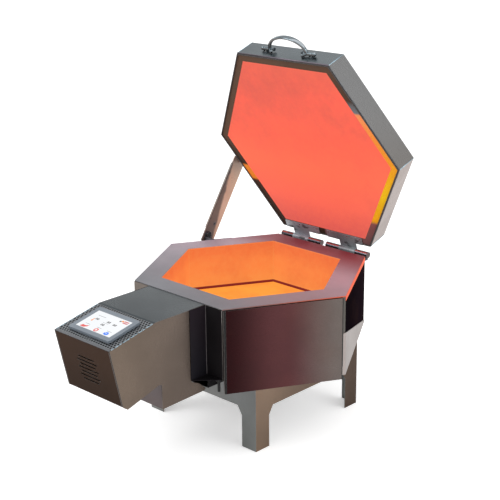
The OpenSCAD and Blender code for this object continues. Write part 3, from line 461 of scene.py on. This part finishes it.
BY_SLOT = {"firebrick": "brick", "hot_plate": "wall_glow", "element_wire": "element"}
BY_NODE = {"foot_plates": "foot_steel", "floor_slab": "floor_glow", "neck_panels": "neck_steel", "hinge_rods": "rod_steel", "hinge_barrels": "rod_steel", "hinge_leaves": "hinge_steel"}
slot_of = {s["node"]: s["material_slot"] for s in frame["record"]["subparts"]}
for name, ob in N.items():
    key = BY_NODE.get(name) or BY_SLOT.get(slot_of[name], slot_of[name])
    ob.data.materials.clear()
    ob.data.materials.append(MATS[key])
    for p in ob.data.polygons:
        p.material_index = 0


# ------------------------------------------------------------------ pieces
def mesh_obj(name, bm, mat, body, smooth=False):
    me = bpy.data.meshes.new(name)
    bm.normal_update()
    bm.to_mesh(me)
    bm.free()
    ob = bpy.data.objects.new(name, me)
    sc.collection.objects.link(ob)
    me.materials.append(mat)
    for p in me.polygons:
        p.use_smooth = smooth
    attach(ob, body)
    return ob


# perforated sheet of the sloping panel
def perforated():
    bm = bmesh.new()
    x0, x1, y0, y1 = -0.1238, 0.1238, 0.0016, SL_L - 0.0086
    wx, wy0, wy1 = 0.084, BZ0 + 0.008, BZ0 + 0.116
    pitch, r, k = 0.0105, 0.0038, 8
    nx, ny = round((x1 - x0) / pitch), round((y1 - y0) / 0.0086)
    px, py = (x1 - x0) / nx, (y1 - y0) / ny
    for j in range(ny):
        odd = j % 2
        cells = [(x0 + (i + 0.5 + 0.5 * odd) * px, px / 2, True) for i in range(nx - odd)]
        if odd:
            cells += [(x0 + px / 4, px / 4, False), (x1 - px / 4, px / 4, False)]
        cy = y0 + (j + 0.5) * py
        for cx, hx, holed in cells:
            if abs(cx) < wx and wy0 < cy < wy1:
                continue
            hy = py / 2
            edge = not holed
            sq = [(hx, 0), (hx, hy), (0, hy), (-hx, hy), (-hx, 0), (-hx, -hy), (0, -hy), (hx, -hy)]
            for z, flip in ((0.0, False), (-0.0018, True)):
                o = [bm.verts.new((cx + a, cy + b, z)) for a, b in sq]
                if edge:
                    bm.faces.new(o if not flip else o[::-1])
                    continue
                h = [bm.verts.new((cx + r * math.cos(math.radians(45 * q)), cy + r * math.sin(math.radians(45 * q)), z)) for q in range(k)]
                for q in range(k):
                    quad = [o[q], o[(q + 1) % k], h[(q + 1) % k], h[q]]
                    bm.faces.new(quad if not flip else quad[::-1])
                if flip:
                    for q in range(k):
                        bm.faces.new([top[q], top[(q + 1) % k], h[(q + 1) % k], h[q]])
                else:
                    top = h
    # rim of the sheet
    for a, b in (((x0, y0), (x1, y0)), ((x1, y0), (x1, y1)), ((x1, y1), (x0, y1)), ((x0, y1), (x0, y0))):
        v = [bm.verts.new((*a, -0.0018)), bm.verts.new((*b, -0.0018)), bm.verts.new((*b, 0)), bm.verts.new((*a, 0))]
        bm.faces.new(v)
    bmesh.ops.remove_doubles(bm, verts=bm.verts, dist=1e-6)
    bm.transform(ON_SLOPE)
    ob = mesh_obj("grille_perforated", bm, MATS["grille_steel"], "body")
    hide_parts("box_grille_panel")


perforated()


# bow handle: a flattened bar that widens towards its crown, its ends turned in
def bow():
    path = []
    n, tail = 56, 9
    for i in range(tail, 0, -1):
        u = i / tail
        path.append((-0.079 + 0.015 * u ** 1.6, -0.349 + 0.0035 * u, 0.532 - 0.013 * u ** 1.4, 0.0048))
    for i in range(n + 1):
        t = math.radians(-90 + 180 * i / n)
        path.append((0.079 * math.sin(t), -0.349 - 0.048 * math.cos(t), 0.532, 0.0052 + 0.0052 * max(0.0, math.cos(t)) ** 1.5))
    for i in range(1, tail + 1):
        u = i / tail
        path.append((0.079 - 0.015 * u ** 1.6, -0.349 + 0.0035 * u, 0.532 - 0.013 * u ** 1.4, 0.0048))
    bm = bmesh.new()
    k, rings = 18, []
    for i, (x, y, z, w) in enumerate(path):
        a, b = Vector(path[max(i - 1, 0)][:3]), Vector(path[min(i + 1, len(path) - 1)][:3])
        t = (b - a).normalized()
        side = Vector((0, 0, 1))
        side = (side - side.dot(t) * t).normalized()
        nrm = t.cross(side)
        th = 0.0040 + 0.0010 * min(1.0, abs(x) / 0.079)
        ring = []
        for q in range(k):
            g = 2 * math.pi * q / k
            cg, sg = math.cos(g), math.sin(g)
            u = th * math.copysign(abs(cg) ** 0.8, cg)
            v = w * math.copysign(abs(sg) ** 0.7, sg)
            ring.append(bm.verts.new(Vector((x, y, z)) + nrm * u + side * v))
        rings.append(ring)
    for a, b in zip(rings, rings[1:]):
        for q in range(k):
            bm.faces.new([a[q], a[(q + 1) % k], b[(q + 1) % k], b[q]])
    bm.faces.new(rings[0][::-1])
    bm.faces.new(rings[-1])
    bmesh.ops.recalc_face_normals(bm, faces=bm.faces)
    bm.transform(ON_LID)
    ob = mesh_obj("handle_bow_round", bm, MATS["handle_chrome"], "lid", True)
    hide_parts("handle_bow")


bow()


def slab(bm, M, x0, x1, y0, y1, z0, z1):
    v = [bm.verts.new(M @ Vector(c)) for c in ((x0, y0, z0), (x1, y0, z0), (x1, y1, z0), (x0, y1, z0), (x0, y0, z1), (x1, y0, z1), (x1, y1, z1), (x0, y1, z1))]
    for q in ((3, 2, 1, 0), (4, 5, 6, 7), (0, 1, 5, 4), (1, 2, 6, 5), (2, 3, 7, 6), (3, 0, 4, 7)):
        bm.faces.new([v[i] for i in q])


def rod(bm, a, b, r, k=10):
    a, b = Vector(a), Vector(b)
    d = (b - a).normalized()
    u = d.orthogonal().normalized()
    w = d.cross(u)
    rings = []
    for c in (a, b):
        rings.append([bm.verts.new(c + r * (math.cos(2 * math.pi * i / k) * u + math.sin(2 * math.pi * i / k) * w)) for i in range(k)])
    for i in range(k):
        bm.faces.new([rings[0][i], rings[0][(i + 1) % k], rings[1][(i + 1) % k], rings[1][i]])
    bm.faces.new(rings[0][::-1])
    bm.faces.new(rings[1])


def corner(ap, a):
    R = ap / c30
    return R * math.cos(math.radians(a)), R * math.sin(math.radians(a))


# painted highlights: thin light-blue rods on the folded corners of the lid's case, where they catch the light, and
# tinted lines of painted highlight and reflection along its lower edges
def lid_edge_highlights():
    bm = bmesh.new()
    for a in (0, 60, 120, 180, 240, 300):
        x, y = corner(0.3398, a)
        rod(bm, ON_LID @ Vector((x, y, 0.4955)), ON_LID @ Vector((x, y, 0.5710)), 0.0011)
    mesh_obj("lid_corner_highlights", bm, MATS["edge_highlight_blue"], "lid", True)
    for name, mat, corners, r in (("lid_edge_highlight_grey", "edge_highlight_grey", (300, 0), 0.0010), ("lid_edge_highlight_mauve", "edge_highlight_mauve", (240,), 0.0024), ("lid_edge_reflection_brown", "edge_reflection_brown", (120, 180), 0.0016)):
        bm = bmesh.new()
        for a in corners:
            (x0, y0), (x1, y1) = corner(0.3396, a), corner(0.3396, a + 60)
            rod(bm, ON_LID @ Vector((x0, y0, 0.4958)), ON_LID @ Vector((x1, y1, 0.4958)), r)
        mesh_obj(name, bm, MATS[mat], "lid", True)


lid_edge_highlights()


# painted shadow in the gap between the chamber floor and its walls: a dim dark-red ring, dark against both
def floor_shadow_gap():
    bm = bmesh.new()
    z0, z1 = 0.3384, 0.3470
    inner, outer = 0.2624, 0.2638
    vi, vo = {}, {}
    for z in (z0, z1):
        for k in range(6):
            vi[k, z] = bm.verts.new(SH @ Vector((*corner(inner, 60 * k), z)))
            vo[k, z] = bm.verts.new(SH @ Vector((*corner(outer, 60 * k), z)))
    for k in range(6):
        n = (k + 1) % 6
        bm.faces.new([vi[n, z0], vi[k, z0], vi[k, z1], vi[n, z1]])
        bm.faces.new([vo[k, z0], vo[n, z0], vo[n, z1], vo[k, z1]])
        bm.faces.new([vi[k, z1], vo[k, z1], vo[n, z1], vi[n, z1]])
        bm.faces.new([vo[k, z0], vi[k, z0], vi[n, z0], vo[n, z0]])
    mesh_obj("chamber_floor_shadow_gap", bm, MATS["strip_glow"], "body")


floor_shadow_gap()


# painted highlights along the fold edges of the control box: light dashes and a light front strip on the slope, light
# lines on the sides of the front panel beside their dark gaps
def box_edges():
    bm = bmesh.new()
    n, y0, y1 = 11, 0.006, SL_L - 0.006
    step = (y1 - y0) / n
    for side in (-1, 1):
        for i in range(n):
            a = y0 + step * i + step * 0.08
            x = side * 0.1236
            slab(bm, ON_SLOPE, min(x, x + side * 0.0024), max(x, x + side * 0.0024), a, a + step * (0.86 if i % 2 else 0.62), -0.0004, 0.0006)
    mesh_obj("slope_edge_highlight_dashes", bm, MATS["edge_highlight_blue"], "body")
    bm = bmesh.new()
    slab(bm, ON_SLOPE, -0.1236, 0.1236, -0.0006, 0.0078, -0.0004, 0.0006)
    mesh_obj("slope_front_highlight", bm, MATS["edge_highlight_grey"], "body")
    bm = bmesh.new()
    for side in (-1, 1):
        x = side * 0.1205
        slab(bm, ON_FRONT, x - 0.0007, x + 0.0007, 0.004, FL - 0.004, -0.0005, 0.0003)
    mesh_obj("front_edge_highlights", bm, MATS["highlight_steel"], "body")
    bm = bmesh.new()
    for side in (-1, 1):
        x = side * 0.1229
        slab(bm, ON_FRONT, x - 0.0016, x + 0.0016, 0.004, FL - 0.004, -0.0004, 0.0003)
    mesh_obj("front_edge_gaps", bm, MATS["gap_brown"], "body")


box_edges()


# painted shadow under the perforated sheet: a black sheet that makes the holes read dark
def shadow_sheet():
    bm = bmesh.new()
    z0, z1 = -0.0046, -0.0040
    y0, y1 = 0.0020, SL_L - 0.0100
    slab(bm, ON_SLOPE, -0.1232, -0.0890, y0, y1, z0, z1)
    slab(bm, ON_SLOPE, 0.0890, 0.1232, y0, y1, z0, z1)
    slab(bm, ON_SLOPE, -0.0890, 0.0890, y0, BZ0 + 0.0060, z0, z1)
    slab(bm, ON_SLOPE, -0.0890, 0.0890, BZ0 + 0.1180, y1, z0, z1)
    mesh_obj("grille_shadow_sheet", bm, MATS["shadow_black"], "body")


shadow_sheet()


# painted highlights: light upright lines in the corners of the neck and on the body's front corners
def neck_corner_highlights():
    bm = bmesh.new()
    for side in (-1, 1):
        x = side * 0.1279
        slab(bm, SH, min(x, x + side * 0.0022), max(x, x + side * 0.0022), -0.3428, -0.3421, 0.2625, 0.4872)
    mesh_obj("neck_corner_highlights", bm, MATS["seam_highlight_grey"], "body")
    bm = bmesh.new()
    for side in (-1, 1):
        x, y = corner(0.3402, 300 if side > 0 else 240)
        rod(bm, SH @ Vector((x, y, 0.2615)), SH @ Vector((x, y, 0.4860)), 0.0015)
    mesh_obj("front_corner_highlights", bm, MATS["highlight_steel"], "body", True)


neck_corner_highlights()


# painted glow on the rim folds that face the fire's light; on the heat shield's edges, a painted shadow line and a
# painted highlight line
def folds():
    def face_frame(a):
        """X out of the face at angle a, Y along it."""
        return SH @ Matrix.Rotation(math.radians(a), 4, "Z")

    half = 0.3400 * math.tan(math.radians(30))
    bm = bmesh.new()
    slab(bm, face_frame(30), 0.3401, 0.3412, -half - 0.0004, half - 0.0060, 0.4740, 0.4896)
    mesh_obj("rim_fold_right", bm, MATS["lip_right_painted_glow"], "body")
    bm = bmesh.new()
    slab(bm, face_frame(-30), 0.3401, 0.3412, -half + 0.0010, half + 0.0004, 0.4868, 0.4897)
    mesh_obj("rim_fold_front", bm, MATS["lip_front_painted_glow"], "body")
    # painted shadow line along the heat shield's edges
    bm = bmesh.new()
    F = face_frame(-30)
    slab(bm, F, 0.3481, 0.3486, -0.1929, -0.1868, 0.2172, 0.4858)
    slab(bm, F, 0.3481, 0.3486, 0.1838, 0.1858, 0.2172, 0.4858)
    mesh_obj("shield_edge_shadow", bm, MATS["shadow_black"], "body")
    # painted highlight line along the heat shield's edges
    bm = bmesh.new()
    slab(bm, F, 0.3408, 0.3488, -0.1940, -0.1931, 0.2172, 0.4858)
    slab(bm, F, 0.3408, 0.3488, 0.1861, 0.1870, 0.2600, 0.4858)
    mesh_obj("shield_edge_highlight", bm, MATS["highlight_steel"], "body")


folds()


# rounded caps of the handle's dome nuts
def domes():
    bm = bmesh.new()
    for side in (-1, 1):
        M = ON_LID @ at(side * 0.1096, -0.349, 0.532)
        bmesh.ops.create_uvsphere(bm, u_segments=24, v_segments=14, radius=0.0074, matrix=M)
    mesh_obj("dome_nut_caps", bm, MATS["bright_pin"], "lid", True)


domes()


# dark grommet in the spare hole of the stay arm
def grommet():
    bm = bmesh.new()
    for s in (-1, 1):
        c = ARM @ Vector((s * 0.0026, 0.046, -0.015))
        e = ARM @ Vector((s * 0.0004, 0.046, -0.015))
        rod(bm, e, c, 0.0068, 20)
    mesh_obj("stay_grommet", bm, MATS["black_rubber"], "stay", True)
    # painted shade: a thin dark line along one long edge of the stay, for the shadowed wall of a slot
    bm = bmesh.new()
    slab(bm, ARM, -0.00235, -0.00205, 0.020, ARM_L - 0.040, AOFF + 0.0262, AOFF + 0.0284)
    slab(bm, ARM, 0.00205, 0.00235, 0.020, ARM_L - 0.040, AOFF + 0.0262, AOFF + 0.0284)
    mesh_obj("stay_edge_shade", bm, MATS["black_steel"], "stay")


grommet()


# generic picture on the screen: plain shapes only
def lit(name, rgb, s=0.9):
    m = Mat(name)
    nz = m.noise(120, 2)
    col = m.mix(m.remap(nz, 0.3, 0.7, 0, 0.15), lin(*rgb), (0.3, 0.3, 0.3, 1))
    m.link(m.mix(0.85, col, (0.02, 0.02, 0.02, 1)), m.b.inputs["Base Color"])
    m.link(col, m.b.inputs["Emission Color"])
    m.b.inputs["Emission Strength"].default_value = s
    m.b.inputs["Roughness"].default_value = 0.2
    return m.m


def poly(bm, pts, z):
    bm.faces.new([bm.verts.new((x / 1000, y / 1000, z)) for x, y in pts])


def disc(bm, cx, cy, r, z, k=28, a0=0, a1=360, r2=None):
    if r2 is None:
        poly(bm, [(cx + r * math.cos(math.radians(a0 + (a1 - a0) * i / k)), cy + r * math.sin(math.radians(a0 + (a1 - a0) * i / k))) for i in range(k)], z)
        return
    for i in range(k):
        a, b = (math.radians(a0 + (a1 - a0) * q / k) for q in (i, i + 1))
        poly(bm, [(cx + r * math.cos(a), cy + r * math.sin(a)), (cx + r * math.cos(b), cy + r * math.sin(b)), (cx + r2 * math.cos(b), cy + r2 * math.sin(b)), (cx + r2 * math.cos(a), cy + r2 * math.sin(a))], z)


def rect(bm, x0, y0, x1, y1, z):
    poly(bm, [(x0, y0), (x1, y0), (x1, y1), (x0, y1)], z)


def display():
    zt = 0.00785
    base = (BZ0 + 0.016) * 1000
    X = lambda u: -75.8 + 151.6 * u
    Y = lambda v: base + 91.6 * (1 - v)
    sets = {}

    def b(key):
        return sets.setdefault(key, bmesh.new())

    # plain dial marks: no letters, no signs
    rect(b("orange"), X(0.150), Y(0.54), X(0.175), Y(0.42), zt)
    disc(b("orange"), X(0.162), Y(0.54), 3.4, zt)
    for u, v in ((0.235, 0.40), (0.555, 0.37), (0.505, 0.57), (0.745, 0.40)):
        for q in (-1, 1):
            rect(b("dark"), X(u) + q * 3.7 - 3.2, Y(v) - 4.0, X(u) + q * 3.7 + 3.2, Y(v) + 4.0, zt)
            rect(b("pale"), X(u) + q * 3.7 - 0.9, Y(v) - 1.7, X(u) + q * 3.7 + 0.9, Y(v) + 1.7, zt + 0.00012)
    rect(b("grey"), X(0.14), Y(0.225), X(0.36), Y(0.205), zt)
    rect(b("grey"), X(0.44), Y(0.47), X(0.60), Y(0.455), zt)
    # corner block
    disc(b("dark"), X(0.735), Y(0.13), 3.6, zt)
    disc(b("orange"), X(0.785), Y(0.10), 4.2, zt)
    rect(b("rose"), X(0.82), Y(0.19), X(0.955), Y(0.05), zt)
    rect(b("pale"), X(0.83), Y(0.13), X(0.945), Y(0.11), zt + 0.00012)
    # bottom row
    poly(b("red"), [(X(0.09), Y(0.965)), (X(0.20), Y(0.975)), (X(0.265), Y(0.90)), (X(0.285), Y(0.80)), (X(0.22), Y(0.86)), (X(0.17), Y(0.865)), (X(0.14), Y(0.84)), (X(0.115), Y(0.88))], zt)
    disc(b("red"), X(0.535), Y(0.89), 8.4, zt)
    disc(b("pale"), X(0.535), Y(0.89), 4.4, zt + 0.00012)
    rect(b("red"), X(0.535) - 0.9, Y(0.89) - 3.8, X(0.535) + 0.9, Y(0.89) + 1.0, zt + 0.00024)
    disc(b("blue"), X(0.835), Y(0.885), 8.0, zt)
    poly(b("blue"), [(X(0.835) - 10.5, Y(0.885) - 5.0), (X(0.835) + 8.6, Y(0.885) - 5.0), (X(0.835) + 8.6, Y(0.885) + 2.4), (X(0.835) - 10.5, Y(0.885) + 2.4)], zt + 0.00006)
    rect(b("pale"), X(0.835) - 3.4, Y(0.885) - 1.0, X(0.835) + 1.6, Y(0.885) + 1.0, zt + 0.00018)
    for u in (0.13, 0.47, 0.77):
        rect(b("grey"), X(u), Y(0.765), X(u + 0.13), Y(0.745), zt)
    cols = {"orange": (240, 140, 50), "red": (222, 60, 52), "blue": (20, 120, 245), "rose": (208, 116, 118), "grey": (150, 156, 162), "pale": (240, 244, 246), "dark": (70, 68, 70)}
    for key, bm in sets.items():
        bm.transform(ON_SLOPE)
        ob = mesh_obj("screen_" + key, bm, lit("lit_" + key, cols[key]), "body")


display()

# ------------------------------------------------------------------ stage
floor = bpy.data.meshes.new("floor")
floor.from_pydata([(-14, -14, 0), (14, -14, 0), (14, 14, 0), (-14, 14, 0)], [], [(0, 1, 2, 3)])
fo = bpy.data.objects.new("floor", floor)
sc.collection.objects.link(fo)
fm = Mat("floor_paper")
nz = fm.noise(0.8, 3)
fm.link(fm.mix(fm.remap(nz, 0.3, 0.7, 0, 1), (0.93, 0.93, 0.93, 1), (0.96, 0.96, 0.96, 1)), fm.b.inputs["Base Color"])
fm.b.inputs["Roughness"].default_value = 0.9
# the sheet glows a little to the camera only, so the shadow stays as light as in a studio
fm.b.inputs["Emission Color"].default_value = (1, 1, 1, 1)
fm.link(fm.math("MULTIPLY", fm.n("ShaderNodeLightPath").outputs["Is Camera Ray"], 0.42), fm.b.inputs["Emission Strength"])
fm.b.inputs["Specular IOR Level"].default_value = 0.1
floor.materials.append(fm.m)

w = bpy.data.worlds.new("studio")
sc.world = w
w.use_nodes = True
wt = w.node_tree
wt.nodes.clear()
wo = wt.nodes.new("ShaderNodeOutputWorld")
bg = wt.nodes.new("ShaderNodeBackground")
tcw = wt.nodes.new("ShaderNodeTexCoord")
sep = wt.nodes.new("ShaderNodeSeparateXYZ")
rmp = wt.nodes.new("ShaderNodeValToRGB")
wt.links.new(tcw.outputs["Generated"], sep.inputs[0])
wt.links.new(sep.outputs[2], rmp.inputs[0])
rmp.color_ramp.elements[0].color = (0.92, 0.92, 0.92, 1)
rmp.color_ramp.elements[1].color = (1.0, 1.0, 1.0, 1)
wt.links.new(rmp.outputs[0], bg.inputs[0])
bg.inputs[1].default_value = 0.95
white = wt.nodes.new("ShaderNodeBackground")
white.inputs[0].default_value = (1, 1, 1, 1)
white.inputs[1].default_value = 1.05
lp = wt.nodes.new("ShaderNodeLightPath")
mx = wt.nodes.new("ShaderNodeMixShader")
wt.links.new(lp.outputs["Is Camera Ray"], mx.inputs[0])
wt.links.new(bg.outputs[0], mx.inputs[1])
wt.links.new(white.outputs[0], mx.inputs[2])
wt.links.new(mx.outputs[0], wo.inputs[0])


def area(name, loc, target, size, power, col=(1, 1, 1)):
    l = bpy.data.lights.new(name, "AREA")
    l.energy, l.size, l.color = power, size, col
    o = bpy.data.objects.new(name, l)
    o.location = loc
    o.rotation_mode = "QUATERNION"
    o.rotation_quaternion = (Vector(target) - Vector(loc)).to_track_quat("-Z", "Y")
    sc.collection.objects.link(o)


area("key", (-2.0, -3.2, 3.6), (0, 0, 0.4), 2.2, 70)
area("side", (3.6, 0.6, 2.2), (0, 0, 0.4), 1.8, 30)

cam = bpy.data.cameras.new("cam")
co = bpy.data.objects.new("cam", cam)
sc.collection.objects.link(co)
right = (0.72271768, 0.69108266, -0.00916036)
up = (-0.20641393, 0.22847385, 0.95141631)
back = (0.65960022, -0.68571456, 0.30777117)
co.matrix_world = SH @ Matrix(((right[0], up[0], back[0], 2.58840), (right[1], up[1], back[1], -2.70337), (right[2], up[2], back[2], 1.76267), (0, 0, 0, 1)))
cam.sensor_width = 36.0
cam.sensor_fit = "HORIZONTAL"
cam.lens = 36.0 * 1208.0036 / 500
cam.clip_start, cam.clip_end = 0.05, 60
sc.camera = co

sc.view_settings.view_transform = "Standard"
sc.view_settings.look = "None"
sc.view_settings.exposure = 0.0
sc.cycles.max_bounces = 8
sc.cycles.use_denoising = True
